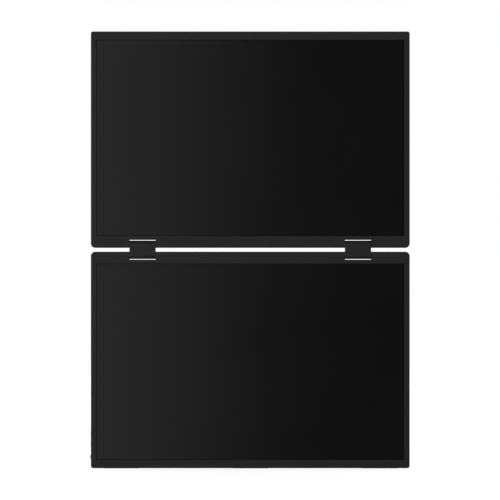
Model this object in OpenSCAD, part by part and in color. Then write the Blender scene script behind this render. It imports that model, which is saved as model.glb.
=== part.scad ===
// Stacked twin-screen extender: two flat panels joined by two geared double-pin hinges,
// standing upright on a fold-out foot plate. Millimetres, +Z up, front faces -Y.
// The origin lies on the desk, under the middle of the lower panel and in the hinge pins' plane.

/* [Panels] */
// Width of both panels
panel_w = 358; // [350:1:380]
// Height of one panel, outer edge to hinge edge
panel_h = 243; // [238:1:262]
// Thickness of one panel
panel_t = 9.6; // [9.5:0.1:10.2]
// Clear gap between the two panels when they stand in one plane
panel_gap = 4.3; // [3.6:0.1:4.6]
// Plan radius of the corners at a panel's outer edge
outer_corner_r = 2.5; // [2:0.25:6]
// Plan radius of the corners at a panel's hinge edge
hinge_corner_r = 5; // [2.5:0.5:8]
// Rounding of the panel's long edges
edge_r = 1.5; // [0.8:0.1:1.8]

/* [Screen] */
// Bezel beside the screen
side_bezel = 6.2; // [5.5:0.1:9]
// Bezel along the outer edge
outer_bezel = 9.5; // [9:0.1:14]
// Bezel along the hinge edge
hinge_bezel = 13.4; // [13.2:0.1:18]
// Depth of the screen's face behind the bezel
bezel_t = 0.8; // [0.6:0.1:1]
// Chamfer round the front of the screen opening
opening_chamfer = 0.3; // [0.2:0.05:0.5]
// Width of display glass hidden behind the bezel on each side
glass_lap = 2.2; // [1.4:0.1:2.4]
// Thickness of the display glass cell
glass_t = 1; // [0.8:0.1:1.1]
// Thickness of the diffuser and prism films
film_t = 0.4; // [0.3:0.05:0.5]
// Thickness of the light guide
guide_t = 0.7; // [0.5:0.05:0.8]
// Sheet thickness of the backlight tray
tray_t = 0.3; // [0.2:0.05:0.4]
// Width of the light strip along the hinge edge
led_strip_w = 3; // [2.5:0.1:4]
// Lamps on one light strip
led_count = 20; // [8:1:36]

/* [Casings] */
// Side walls of the casings
wall_t = 1.6; // [1.2:0.1:1.8]
// Back wall of the rear covers
rear_t = 1.4; // [1.2:0.1:1.6]
// Distance from the front face back to the seam between frame and cover
seam_depth = 2.8; // [2.6:0.1:3]
// Shadow gap at the seam
seam_gap = 0.1; // [0.05:0.05:0.2]
// Thickness of the rear cover's tongue inside the frame's wall
tongue_t = 0.6; // [0.4:0.05:0.7]
// How far the tongue reaches into the frame
tongue_l = 0.8; // [0.6:0.1:1]
// Thickness of the ribs inside the casings
rib_t = 1; // [0.8:0.1:1.4]
// Depth of the ribs on the rear covers' inside
rib_d = 2; // [1:0.1:2]
// Walls around the hinge notches
notch_wall = 1.4; // [1:0.1:1.5]
// Floor under the stand's recess
recess_floor_t = 1.2; // [1:0.1:1.3]

/* [Hinges] */
// Distance of each hinge's middle from the panel's side edge
hinge_end = 58; // [47:1:69]
// Width of a hinge barrel
hinge_w = 29.3; // [29:0.1:34]
// Radius of the hinge barrels
barrel_r = 4.6; // [4.4:0.05:4.7]
// Wall of the hinge covers
barrel_wall = 0.8; // [0.6:0.05:0.9]
// End walls of the hinge covers
barrel_end_t = 1; // [0.8:0.1:1.2]
// Clear slot between a barrel and the end of its notch
barrel_slot = 0.7; // [0.5:0.05:1]
// Clearance between a barrel's end and the notch's side
barrel_side_clear = 0.15; // [0.1:0.05:0.4]
// Radius of the hinge shafts
shaft_r = 1.4; // [1.2:0.05:1.45]
// Radial running clearance of the shafts and idlers
running_clear = 0.05; // [0.02:0.01:0.08]
// Thickness of a friction plate
friction_plate_t = 0.8; // [0.6:0.05:0.9]
// Thickness of a friction washer
washer_t = 0.6; // [0.4:0.05:0.7]
// Radius of a friction washer
washer_r = 2.6; // [2.2:0.1:2.8]
// Friction plates in one hinge
friction_plates = 8; // [4:1:8]
// Length of the shaft held in its bracket
bracket_hold = 8; // [6:0.5:12]
// Reach of a bracket's plate down into the panel
bracket_drop = 28; // [22:1:34]
// Width of a bracket's plate
bracket_w = 24; // [20:1:30]
// Thickness of a bracket's plate
bracket_t = 1; // [0.8:0.1:1.2]

/* [Hinge gears] */
// Gear module
gear_module = 0.32; // [0.315:0.005:0.325]
// Teeth on each gear, an even number
gear_teeth = 12; // [12]
// Pressure angle of the teeth
pressure_angle = 25; // [24:0.5:26]
// Play between meshed teeth at the pitch circle
backlash = 0.06; // [0.05:0.01:0.09]
// Face width of the gears
gear_w = 4; // [3:0.1:4.5]
// Thickness of the plates beside the gears
gear_plate_t = 1; // [0.8:0.1:1.2]
// Radius of the idler gears' trunnions
idler_pin_r = 0.9; // [0.7:0.05:1]

/* [Stand] */
// Width of the foot plate
stand_w = 220; // [180:1:222]
// Reach of the foot plate from its pivot
stand_l = 130; // [110:1:132]
// Thickness of the foot plate
stand_t = 3; // [2.8:0.1:3.1]
// Clearance around the folded foot plate
stand_clear = 0.3; // [0.25:0.05:0.6]
// Plan radius of the foot plate's free corners
stand_corner_r = 9; // [4:0.5:20]
// Depth of the ribbed pocket in the foot plate
stand_pocket_d = 1.2; // [0.6:0.1:1.4]
// Distance of each stand bracket from the middle
stand_bracket_x = 80; // [60:1:88]
// Width of a stand bracket
stand_bracket_w = 13.4; // [10:0.1:16]
// Radius of the stand's hinge pins
stand_pin_r = 0.75; // [0.6:0.05:0.85]
// Depth of a stand bracket's foot, sunk in the recess floor
stand_foot_t = 0.8; // [0.6:0.05:0.9]
// How far the rubber pads stand proud of the foot plate
pad_proud = 0.5; // [0.45:0.05:0.8]
// How far the rubber strips stand proud of the lower panel's bottom edge
strip_proud = 0.3; // [0.2:0.05:0.4]

/* [Keys] */
// Height of the middle of the upper pill key above the panel's bottom edge
up_key_z = 37.3; // [36.5:0.1:39]
// Height of the middle of the lower pill key
down_key_z = 27.4; // [26:0.1:28]
// Height of the middle of the power key
power_key_z = 12.3; // [12:0.1:14]
// Length of a pill key
pill_key_l = 7.5; // [6:0.1:8]
// Length of the power key
power_key_l = 4.6; // [4:0.1:6]
// Width of the keys across the panel
key_t = 2.4; // [2:0.1:2.6]
// How far the pill keys stand out
pill_proud = 0.3; // [0.3:0.05:0.6]
// How far the power key stands out
power_proud = 0.7; // [0.5:0.05:1]
// Travel of the pill keys
pill_travel = 0.25; // [0.2:0.05:0.3]
// Travel of the power key
power_travel = 0.35; // [0.2:0.05:0.4]
// Clearance around each key in its window
key_clear = 0.12; // [0.1:0.01:0.2]

/* [Ports] */
// Heights of the two charging and video sockets above the bottom edge
usb_z = [30, 46];
// Height of the small video socket
hdmi_z = 64; // [62:0.5:66]
// Height of the headphone socket
audio_z = 82; // [79:0.5:88]
// Radius of the headphone socket's bore
audio_r = 1.8; // [1.77:0.01:1.85]
// Depth of the headphone socket's bore
audio_depth = 12; // [10:0.5:14]

/* [Mounting] */
// Spacing of the square of threaded inserts in the back
vesa_spacing = 75; // [75]
// Height of the square's middle above the lower panel's bottom edge
vesa_z = 174; // [173:0.5:176]
// Radius of an insert's thread hole
insert_hole_r = 1.65; // [1.6:0.05:1.7]
// Outer radius of an insert
insert_r = 3; // [2.5:0.1:3.2]

/* [Hidden] */
$fn = 48;
hull_fn = 32;
eps = 0.01;
edge_steps = 4;
full_turn = 360;
quarter_turn = full_turn / 4;

// Places across the panel's thickness, from the front (-Y) to the back (+Y)
front_y = -panel_t / 2;
back_y = panel_t / 2;
seam_y = front_y + seam_depth;
glass_y = front_y + bezel_t;
film_y = glass_y + glass_t;
guide_y = film_y + film_t;
tray_y = guide_y + guide_t;
tray_back_y = tray_y + tray_t;
inner_back_y = back_y - rear_t;

// Places up a panel, from its outer edge (0) to its hinge edge (panel_h)
open_w = panel_w - 2 * side_bezel;
open_h = panel_h - outer_bezel - hinge_bezel;
glass_w = open_w + 2 * glass_lap;
glass_h = open_h + 2 * glass_lap;
glass_z = outer_bezel - glass_lap;
tray_clear = 0.1;
film_inset = 0.5;
tray_rim = tray_clear + tray_t;
tray_half_w = glass_w / 2 + tray_rim;
tray_z = [glass_z - tray_rim, glass_z + glass_h + tray_rim];
inner_x = panel_w / 2 - wall_t;

// The two pins of each hinge, a whole gear train apart
gear_pitch_r = gear_module * gear_teeth / 2;
pin_span = 6 * gear_pitch_r;
pin_z = panel_h - (pin_span - panel_gap) / 2;
notch_end = barrel_r + barrel_slot;
notch_half_w = hinge_w / 2 + barrel_side_clear;
shaft_hole_clear = 0.2;

// Heights above the desk
base_z = strip_proud;
fold_z = base_z + panel_h + panel_gap / 2;
total_z = base_z + 2 * panel_h + panel_gap;

// Stations along a hinge, measured from its middle towards the middle of the panel
hinge_x = panel_w / 2 - hinge_end;
barrel_in = hinge_w / 2;
cable_r = 0.9;
cable_bay = 2.45;
gear_gap = 0.1;
plate_a_x = -barrel_in + barrel_end_t + cable_bay;
gear_x = plate_a_x + gear_plate_t + gear_gap;
plate_b_x = gear_x + gear_w + gear_gap;
stack_x = plate_b_x + gear_plate_t + gear_gap;
stack_gap = 0.1;
stack_pitch = washer_t + friction_plate_t + 2 * stack_gap;
block_x = stack_x + friction_plates * stack_pitch + washer_t + stack_gap;
block_end_x = barrel_in - barrel_end_t;
plate_clear = 0.2;
inner_barrel_r = barrel_r - barrel_wall;
plate_outline_r = inner_barrel_r - plate_clear;
bracket_x = notch_half_w + notch_wall + shaft_hole_clear;
bracket_in_x = hinge_x - bracket_x - bracket_w;

// The stand's pivot, in the middle of the foot plate's thickness both open and folded
stand_pivot_y = back_y - stand_t / 2;
stand_pivot_z = pad_proud + stand_t / 2;
recess_y = stand_pivot_y - stand_t / 2 - stand_clear;
recess_inner_y = recess_y - recess_floor_t;
recess_half_w = stand_w / 2 + stand_clear;
recess_outer_x = recess_half_w + recess_floor_t;
recess_top = stand_pivot_z - base_z + stand_l + stand_clear;

// ---------- Small helpers ----------

module color_dark() { color([0.16, 0.16, 0.16]) children(); }
module color_steel() { color([0.72, 0.73, 0.75]) children(); }
module color_board() { color([0.08, 0.28, 0.16]) children(); }
module color_copper() { color([0.80, 0.62, 0.30]) children(); }

// Draws its children in the lower panel, or mirrored into the upper one
module in_lower() { translate([0, 0, base_z]) children(); }
module in_upper() { translate([0, 0, total_z]) mirror([0, 0, 1]) children(); }

// Draws its children on the left, and mirrored on the right
module both_sides() { for (side = [0, 1]) mirror([side, 0, 0]) children(); }

// At each hinge, with +X towards the middle of the panel
module at_hinges() { both_sides() translate([-hinge_x, 0, 0]) children(); }

// Turns an outline drawn as (y, z) into a bar running along +X
module along_x(length) { rotate([90, 0, 90]) linear_extrude(length) children(); }

// Turns an outline drawn as (x, z) into a plate running along +Y
module along_y(length) { translate([0, length, 0]) rotate([90, 0, 0]) linear_extrude(length) children(); }

// Cylinder along +X or +Y
module rod_x(r, length) { rotate([0, 90, 0]) cylinder(r = r, h = length); }
module rod_y(r, length) { rotate([-90, 0, 0]) cylinder(r = r, h = length); }

// Block given by its two corners
module block(low, high) { translate(low) cube(high - low); }

// Rectangle with round corners, centred
module round_rect(w, h, r) {
    square([w, h - 2 * r], center = true);
    square([w - 2 * r, h], center = true);
    for (x = [-1, 1], z = [-1, 1]) translate([x * (w / 2 - r), z * (h / 2 - r)]) circle(r);
}

// Slot outline with round ends, centred, standing along the second axis
module slot(w, h) {
    square([w, h - w], center = true);
    for (z = [-1, 1]) translate([0, z * (h - w) / 2]) circle(w / 2);
}

// Plate with round corners at its far end, standing on the first axis
module tab_outline(w, l, r) {
    translate([-w / 2, 0]) square([w, l - r]);
    translate([r - w / 2, 0]) square([w - 2 * r, l]);
    for (x = [-1, 1]) translate([x * (w / 2 - r), l - r]) circle(r);
}

// Outline of a panel, drawn as (x, z), set in from its edges
module panel_outline(inset) {
    w = panel_w / 2 - inset;
    outer_r = outer_corner_r - inset;
    hinge_r = hinge_corner_r - inset;
    for (x = [-1, 1]) {
        translate([x * (w - outer_r), inset + outer_r]) circle(outer_r);
        translate([x * (w - hinge_r), panel_h - inset - hinge_r]) circle(hinge_r);
    }
    translate([outer_r - w, inset]) square([2 * (w - outer_r), outer_r + hinge_r]);
    translate([-w, inset + outer_r]) square([2 * w, panel_h - 2 * inset - outer_r - hinge_r]);
    translate([hinge_r - w, panel_h - inset - outer_r - hinge_r])
        square([2 * (w - hinge_r), outer_r + hinge_r]);
}

// Outline of a hinge link, drawn as (y, z) about the fold's middle
module link_outline(r) {
    square([2 * r, pin_span], center = true);
    for (z = [-1, 1]) translate([0, z * pin_span / 2]) circle(r);
}

// ---------- Casings ----------

// Case screws: along the outer edge and along the hinge edge
screw_r = 1;
screw_clear = 0.1;
screw_head_r = 1.9;
screw_head_t = 1;
screw_drive_r = 1;
head_sink = 0.2;
boss_r = 2.1;
boss_sink = 2.8;
boss_back_y = back_y - boss_sink;
cup_r = 2.8;
recess_screw_gap = 3.7;
outer_screw_end = 11;
hinge_screw_end = 14;
bracket_screw_gap = 22;
outer_screw_x = [recess_outer_x + cup_r + recess_screw_gap, panel_w / 2 - outer_screw_end];
hinge_screw_x = [0, bracket_in_x - bracket_screw_gap, panel_w / 2 - hinge_screw_end];
outer_screw_z = (wall_t + tray_z[0]) / 2;
hinge_screw_z = (panel_h - wall_t + tray_z[1]) / 2;
screw_seat_y = back_y - screw_head_t - head_sink;

// Where every case screw stands
module at_case_screws() {
    for (x = outer_screw_x) both_sides() translate([x, 0, outer_screw_z]) children();
    translate([hinge_screw_x[0], 0, hinge_screw_z]) children();
    for (i = [1, 2]) both_sides() translate([hinge_screw_x[i], 0, hinge_screw_z]) children();
}

// Half-section of a corner puck, with rounded edges front and back
function edge_arc(r, y, turn) =
    [for (i = [0:edge_steps]) let (a = turn + quarter_turn * i / edge_steps)
        [r - edge_r + edge_r * cos(a), y + edge_r * sin(a)]];
function puck_profile(r) = concat(
    [[0, -panel_t / 2]], edge_arc(r, edge_r - panel_t / 2, -quarter_turn),
    edge_arc(r, panel_t / 2 - edge_r, 0), [[0, panel_t / 2]]);

module corner_puck(r) {
    rotate([90, 0, 0]) rotate_extrude($fn = hull_fn) polygon(puck_profile(r));
}

// The outside of one whole panel
module panel_envelope() {
    hull() {
        for (side = [-1, 1]) {
            translate([side * (panel_w / 2 - outer_corner_r), 0, outer_corner_r])
                corner_puck(outer_corner_r);
            translate([side * (panel_w / 2 - hinge_corner_r), 0, panel_h - hinge_corner_r])
                corner_puck(hinge_corner_r);
        }
    }
}

// The part of a panel between two depths
module panel_slice(y0, y1) {
    intersection() {
        panel_envelope();
        block([-panel_w, y0, -panel_h], [panel_w, y1, 2 * panel_h]);
    }
}

// Space for the hinges at the hinge edge, grown by a wall
module hinge_notches(wall) {
    at_hinges() block([-notch_half_w - wall, -panel_t, pin_z - notch_end - wall],
                      [notch_half_w + wall, panel_t, panel_h + panel_t]);
}

// Room inside a casing between two depths, clear of the notch walls
module casing_room(y0, y1) {
    difference() {
        translate([0, y0, 0]) along_y(y1 - y0) panel_outline(wall_t);
        hinge_notches(notch_wall);
    }
}

// Tongue of the rear cover inside the frame's wall, or with a clearance the rabbet for it
tongue_clear = 0.1;
module seam_tongue(clear) {
    difference() {
        translate([0, seam_y - tongue_l - clear, 0])
            along_y(tongue_l + clear + seam_gap / 2 + eps) difference() {
                panel_outline(wall_t - tongue_t - clear);
                panel_outline(wall_t);
            }
        hinge_notches(notch_wall + tongue_clear - clear);
    }
}

module front_frame() {
    difference() {
        panel_slice(front_y - panel_t, seam_y - seam_gap / 2);
        casing_room(glass_y, back_y);
        block([-open_w / 2, front_y - panel_t, outer_bezel],
              [open_w / 2, back_y, outer_bezel + open_h]);
        opening_lip();
        seam_tongue(tongue_clear);
        hinge_notches(0);
    }
    at_case_screws() screw_boss();
    frame_ribs();
}

// Half-width of the opening's chamfer at a depth, and its cut round the opening
function lip_reach(half, y) = half + opening_chamfer - (y - front_y);
module opening_lip() {
    y0 = front_y - eps;
    y1 = glass_y;
    intersection() {
        translate([-panel_w, 0, outer_bezel + open_h / 2]) along_x(2 * panel_w)
            polygon([[y0, lip_reach(open_h / 2, y0)], [y1, lip_reach(open_h / 2, y1)],
                     [y1, -lip_reach(open_h / 2, y1)], [y0, -lip_reach(open_h / 2, y0)]]);
        linear_extrude(panel_h)
            polygon([[lip_reach(open_w / 2, y0), y0], [lip_reach(open_w / 2, y1), y1],
                     [-lip_reach(open_w / 2, y1), y1], [-lip_reach(open_w / 2, y0), y0]]);
    }
}

// Ribs behind the bezel that keep the display's tray and the magnets in place
rib_gap = 0.15;
side_rib_l = 8;
side_rib_shares = [0.25, 0.5, 0.75];
frame_rib_y = seam_y - rib_gap;
module frame_ribs() {
    rib_reach = magnet_l / 2 + rib_gap + rib_t / 2;
    both_sides() {
        for (x = [outer_screw_x[0] / 2, magnet_x - rib_reach, magnet_x + rib_reach])
            block([x - rib_t / 2, glass_y - eps, wall_t + rib_gap],
                  [x + rib_t / 2, frame_rib_y, tray_z[0] - rib_gap]);
        translate([hinge_screw_x[1] / 2, 0, 0])
            block([-rib_t / 2, glass_y - eps, tray_z[1] + rib_gap],
                  [rib_t / 2, frame_rib_y, panel_h - wall_t - rib_gap]);
        for (share = side_rib_shares) translate([0, 0, share * panel_h])
            block([tray_half_w + rib_gap, glass_y - eps, -side_rib_l / 2],
                  [inner_x - rib_gap, frame_rib_y, side_rib_l / 2]);
    }
}

// Boss that a case screw bites into
module screw_boss() {
    translate([0, glass_y - eps, 0]) difference() {
        rod_y(boss_r, boss_back_y - glass_y);
        translate([0, wall_t, 0]) rod_y(screw_r + running_clear, back_y - glass_y);
    }
}

// Cup in the rear cover that reaches forward to the boss
module screw_cup() {
    translate([0, boss_back_y + running_clear, 0])
        rod_y(cup_r, inner_back_y + eps - boss_back_y - running_clear);
}

// Countersink and clearance hole of a case screw
module screw_hole() {
    translate([0, boss_back_y - eps, 0]) rod_y(screw_r + screw_clear, panel_t);
    translate([0, screw_seat_y, 0]) rod_y(screw_head_r + screw_clear, panel_t);
}

module case_screws() {
    at_case_screws() {
        difference() {
            translate([0, screw_seat_y, 0]) rod_y(screw_head_r, screw_head_t);
            translate([0, screw_seat_y + screw_head_t / 2, 0]) rotate([-90, 0, 0])
                cylinder(r = screw_drive_r, h = screw_head_t, $fn = 6);
        }
        translate([0, seam_y, 0]) rod_y(screw_r, screw_seat_y - seam_y + eps);
    }
}

// Plain rear cover, as on the upper panel
module rear_cover() {
    difference() {
        union() {
            difference() {
                panel_slice(seam_y + seam_gap / 2, back_y + panel_t);
                casing_room(front_y, inner_back_y);
                hinge_notches(0);
            }
            cover_fittings(rib_end_gap);
        }
        cover_holes();
    }
}

// What both rear covers carry inside, with ribs from a height upwards
module cover_fittings(rib_low) {
    at_case_screws() screw_cup();
    bracket_bosses();
    seam_tongue(0);
    cover_ribs(rib_low);
}
module cover_holes() {
    at_case_screws() screw_hole();
    notch_bores();
    bracket_pilots();
}

// Stiffening ribs on a cover's inside, in line with the square of inserts
rib_end_gap = 8;
rib_pitch = vesa_spacing / 2;
module cover_ribs(rib_low) {
    rib_top = pin_z - bracket_drop - rib_end_gap;
    steps = floor((inner_x - rib_end_gap) / rib_pitch);
    for (i = [-steps:steps])
        block([i * rib_pitch - rib_t / 2, inner_back_y - rib_d, rib_low],
              [i * rib_pitch + rib_t / 2, inner_back_y + eps, rib_top]);
    for (z = [vesa_z:-vesa_spacing:rib_low])
        block([-steps * rib_pitch, inner_back_y - rib_d, z - rib_t / 2],
              [steps * rib_pitch, inner_back_y + eps, z + rib_t / 2]);
}

// Bores in the notch walls for the hinge shafts and the cable
module notch_bores() {
    at_hinges() translate([0, 0, pin_z]) rod_x(shaft_r + shaft_hole_clear, bracket_x);
    translate([-hinge_x - bracket_x, 0, pin_z]) rod_x(cable_r + shaft_hole_clear, bracket_x);
}

// ---------- Rear cover of the lower panel ----------

scoop_r = 14;
scoop_rise = 5;
vent_pitch = 5;
vent_w = 2;
vent_l = 34;
vent_margin = 8;
vent_z = 66;
grille_margin = 6.5;
grille_pitch = 3.2;
grille_w = 1.4;
grille_l = 9;

module lower_rear_cover() {
    color_dark() in_lower() difference() {
        union() {
            difference() {
                panel_slice(seam_y + seam_gap / 2, back_y + panel_t);
                difference() {
                    casing_room(front_y, inner_back_y);
                    stand_recess(recess_floor_t);
                }
                hinge_notches(0);
                stand_recess(0);
            }
            cover_fittings(recess_top + scoop_rise + rib_end_gap);
            board_posts();
            at_inserts() translate([0, insert_y, 0])
                rod_y(insert_r + insert_wall, inner_back_y + eps - insert_y);
        }
        cover_holes();
        at_board_posts() translate([0, board_y + board_t - eps, 0])
            rod_y(board_screw_r + running_clear, board_screw_l - board_t + screw_clear);
        at_inserts() translate([0, insert_y - eps, 0]) rod_y(insert_r, panel_t);
        at_stand_brackets() stand_bracket_pocket();
        key_windows();
        port_windows();
        vents();
        at_speakers() grille();
        bottom_strips(-panel_t);
    }
}

// Recess for the folded foot plate and the finger scoop above it, grown by a wall
module stand_recess(wall) {
    corner_r = stand_corner_r + stand_clear + wall;
    translate([0, recess_y - wall, -panel_h]) along_y(panel_t)
        tab_outline(2 * (recess_half_w + wall), panel_h + recess_top + wall, corner_r);
    translate([0, recess_y - wall, recess_top + scoop_rise - scoop_r])
        rod_y(scoop_r + wall, panel_t);
}

// Vents behind the main board, as many as its width takes
module vents() {
    steps = floor((board_x1 - board_x0 - 2 * vent_margin) / vent_pitch);
    for (i = [-steps / 2:steps / 2])
        translate([(board_x0 + board_x1) / 2 + i * vent_pitch, 0, vent_z])
            along_y(panel_t) slot(vent_w, vent_l);
}

module grille() {
    steps = floor((speaker_w - 2 * grille_margin) / grille_pitch);
    for (i = [-steps / 2:steps / 2])
        translate([i * grille_pitch, 0, 0]) along_y(panel_t) slot(grille_w, grille_l);
}

// Rubber strips under the bottom edge
strip_l = 40;
strip_front_gap = 0.7;
strip_back_gap = 0.4;
strip_y = [seam_y + strip_front_gap, recess_y - strip_back_gap];
strip_sink = 0.8;
strip_end = 34;
strip_x = [strip_end - panel_w / 2, 0, panel_w / 2 - strip_end];

module bottom_strips(low) {
    for (x = strip_x) block([x - strip_l / 2, strip_y[0], low], [x + strip_l / 2, strip_y[1], strip_sink]);
}
module foot_strips() {
    color([0.1, 0.1, 0.1]) in_lower() bottom_strips(-strip_proud);
}

// ---------- Threaded inserts ----------

insert_wall = 1.2;
insert_depth = 5.6;
insert_y = back_y - insert_depth;
insert_floor_t = 0.6;

module at_inserts() {
    for (x = [-1, 1], z = [-1, 1])
        translate([x * vesa_spacing / 2, 0, vesa_z + z * vesa_spacing / 2]) children();
}
module threaded_inserts() {
    color_copper() in_lower() at_inserts() translate([0, insert_y, 0]) difference() {
        rod_y(insert_r, insert_depth);
        translate([0, insert_floor_t, 0]) rod_y(insert_hole_r, insert_depth);
    }
}

// ---------- Display stack ----------

module lcd_glass() {
    color([0.09, 0.09, 0.1])
        block([-glass_w / 2, glass_y, glass_z], [glass_w / 2, film_y, glass_z + glass_h]);
}
module film_stack() {
    color([0.93, 0.94, 0.95])
        block([-glass_w / 2 + film_inset, film_y, glass_z + film_inset],
              [glass_w / 2 - film_inset, guide_y, glass_z + glass_h - film_inset]);
}
// The light guide stops short of the light strip
guide_top = glass_z + glass_h - film_inset - led_strip_w;
module light_guide() {
    color([0.85, 0.92, 0.95])
        block([-glass_w / 2 + film_inset, guide_y, glass_z + film_inset],
              [glass_w / 2 - film_inset, tray_y, guide_top]);
}
led_base_t = 0.25;
led_w = 3.4;
led_clear = 0.1;
module led_strip() {
    color([0.95, 0.9, 0.6]) {
        block([-glass_w / 2 + film_inset, tray_y - led_base_t, guide_top + led_clear],
              [glass_w / 2 - film_inset, tray_y, glass_z + glass_h - film_inset]);
        for (i = [0:led_count - 1])
            translate([(i - (led_count - 1) / 2) * (glass_w - 2 * led_w) / led_count, 0, 0])
                block([-led_w / 2, guide_y, guide_top + led_clear],
                      [led_w / 2, tray_y - led_base_t + eps, guide_top + led_strip_w / 2]);
    }
}
module backlight_tray() {
    color_steel() difference() {
        block([-tray_half_w, film_y, tray_z[0]], [tray_half_w, tray_back_y, tray_z[1]]);
        block([-glass_w / 2 - tray_clear, film_y - eps, glass_z - tray_clear],
              [glass_w / 2 + tray_clear, tray_y, glass_z + glass_h + tray_clear]);
    }
}

// Drive board of the display, on the tray's back between the hinges
drive_board_gap = 5.6;
drive_board_w = 2 * (bracket_in_x - drive_board_gap);
drive_board_h = 13.5;
drive_board_in = 12.5;
drive_board_z = [panel_h - drive_board_in - drive_board_h, panel_h - drive_board_in];
drive_chip_h = 6;
drive_chip_l = [12, 8, 14, 6];
drive_chip_end = 24;
drive_chip_pitch = (drive_board_w - 2 * drive_chip_end) / (len(drive_chip_l) - 1);
board_t = 0.8;
chip_t = 1;
module panel_board() {
    color_board() {
        block([-drive_board_w / 2, tray_back_y, drive_board_z[0]],
              [drive_board_w / 2, tray_back_y + board_t, drive_board_z[1]]);
        for (i = [0:len(drive_chip_l) - 1])
            translate([(i - (len(drive_chip_l) - 1) / 2) * drive_chip_pitch, tray_back_y + board_t - eps,
                       (drive_board_z[0] + drive_board_z[1]) / 2])
                block([-drive_chip_l[i] / 2, 0, -drive_chip_h / 2],
                      [drive_chip_l[i] / 2, chip_t, drive_chip_h / 2]);
    }
}

// Magnets that hold the panels closed, midway between the screws of the outer bezel
magnet_x = (outer_screw_x[0] + outer_screw_x[1]) / 2;
magnet_l = 22;
magnet_t = 2.6;
magnet_room = 0.6;
magnet_w = tray_z[0] - wall_t - 2 * magnet_room;
module closing_magnets() {
    color_steel() both_sides()
        translate([magnet_x, 0, outer_screw_z])
            block([-magnet_l / 2, glass_y, -magnet_w / 2], [magnet_l / 2, glass_y + magnet_t, magnet_w / 2]);
}

// ---------- Hinge: brackets and shafts on the panels ----------

bracket_block_r = 1.9;
bracket_boss_l = 1.2;
bracket_plate_y = inner_back_y - bracket_boss_l - bracket_t;
hold_clear = 0.01;
bracket_screw_r = 1;
bracket_head_r = 1.8;
bracket_head_t = 1;
bracket_boss_r = 2.6;
bracket_pilot_d = 2.4;
bracket_corner_r = 3;
bracket_screw_in = 5;
bracket_screw_rise = 12;

// Where the screws of every bracket stand
module at_bracket_screws() {
    at_hinges() for (x = [bracket_screw_in, bracket_w - bracket_screw_in], z = [0, bracket_screw_rise])
        translate([bracket_x + x, 0, pin_z - bracket_drop + bracket_screw_in + z]) children();
}
module bracket_bosses() {
    at_bracket_screws()
        translate([0, bracket_plate_y + bracket_t, 0])
            rod_y(bracket_boss_r, inner_back_y + eps - bracket_plate_y - bracket_t);
}
module bracket_pilots() {
    at_bracket_screws()
        translate([0, bracket_plate_y, 0]) rod_y(bracket_screw_r, bracket_t + bracket_pilot_d);
}
module hinge_brackets() {
    color_steel() difference() {
        at_hinges() {
            block([bracket_x, -bracket_block_r, pin_z - bracket_block_r],
                  [bracket_x + bracket_hold, bracket_plate_y + bracket_t, pin_z + bracket_block_r]);
            translate([bracket_x + bracket_w / 2, bracket_plate_y, pin_z - bracket_drop / 2])
                along_y(bracket_t) round_rect(bracket_w, bracket_drop, bracket_corner_r);
            block([bracket_x, bracket_plate_y, pin_z - bracket_drop / 2],
                  [bracket_x + bracket_hold, bracket_plate_y + bracket_t, pin_z]);
        }
        at_hinges() translate([bracket_x - eps, 0, pin_z]) rod_x(shaft_r + hold_clear, bracket_hold + 2 * eps);
        at_bracket_screws() translate([0, bracket_plate_y - eps, 0])
            rod_y(bracket_screw_r + screw_clear, bracket_t + 2 * eps);
    }
}
module bracket_screws() {
    color_steel() at_bracket_screws() translate([0, bracket_plate_y, 0]) {
        difference() {
            translate([0, -bracket_head_t, 0]) rod_y(bracket_head_r, bracket_head_t);
            translate([0, -bracket_head_t - eps, 0]) rotate([-90, 0, 0])
                cylinder(r = screw_drive_r, h = bracket_head_t / 2, $fn = 6);
        }
        translate([0, -eps, 0]) rod_y(bracket_screw_r - screw_clear, bracket_t + bracket_pilot_d - screw_clear);
    }
}

// ---------- Hinge: gears ----------

root_depth = 1.2;
gear_tip_r = gear_pitch_r + gear_module;
gear_root_r = gear_pitch_r - root_depth * gear_module;
gear_base_r = gear_pitch_r * cos(pressure_angle);
flank_steps = 3;
tooth_turn = full_turn / gear_teeth;
tooth_t = PI * gear_module / 2 - backlash;

// Involute function in degrees, at a radius
function inv_at(r) = let (a = acos(min(1, gear_base_r / r))) tan(a) * full_turn / (2 * PI) - a;
// Half the angle that a tooth covers at a radius
function half_tooth(r) = tooth_t / gear_pitch_r * full_turn / (4 * PI)
    + inv_at(gear_pitch_r) - inv_at(max(r, gear_base_r));
function polar(r, a) = [r * cos(a), r * sin(a)];
// One tooth's outline, from root to root
function tooth(mid) = let (radii = concat([gear_root_r],
        [for (i = [0:flank_steps]) gear_base_r + (gear_tip_r - gear_base_r) * i / flank_steps]))
    concat([for (r = radii) polar(r, mid - half_tooth(r))],
           [for (i = [len(radii) - 1:-1:0]) polar(radii[i], mid + half_tooth(radii[i]))]);
function gear_points(turn) = [for (k = [0:gear_teeth - 1]) each tooth(turn + k * tooth_turn)];

// Gear with a tooth, or with shift = 0.5 a gap, facing its neighbours above and below
module gear(shift) {
    translate([gear_x, 0, 0]) along_x(gear_w) polygon(gear_points(quarter_turn + shift * tooth_turn));
}

// A panel's shaft: journal, gear, friction washers and the end held in the bracket
module shaft(shift) {
    gear(shift);
    translate([plate_a_x, 0, 0]) rod_x(shaft_r, bracket_x + bracket_hold - plate_a_x);
    for (i = [0:friction_plates])
        translate([stack_x + i * stack_pitch, 0, 0]) rod_x(washer_r, washer_t);
}
module lower_hinge_shafts() {
    color_steel() in_lower() at_hinges() translate([0, 0, pin_z]) shaft(0);
}
module upper_hinge_shafts() {
    color_steel() in_upper() at_hinges() translate([0, 0, pin_z]) shaft(0.5);
}

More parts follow.
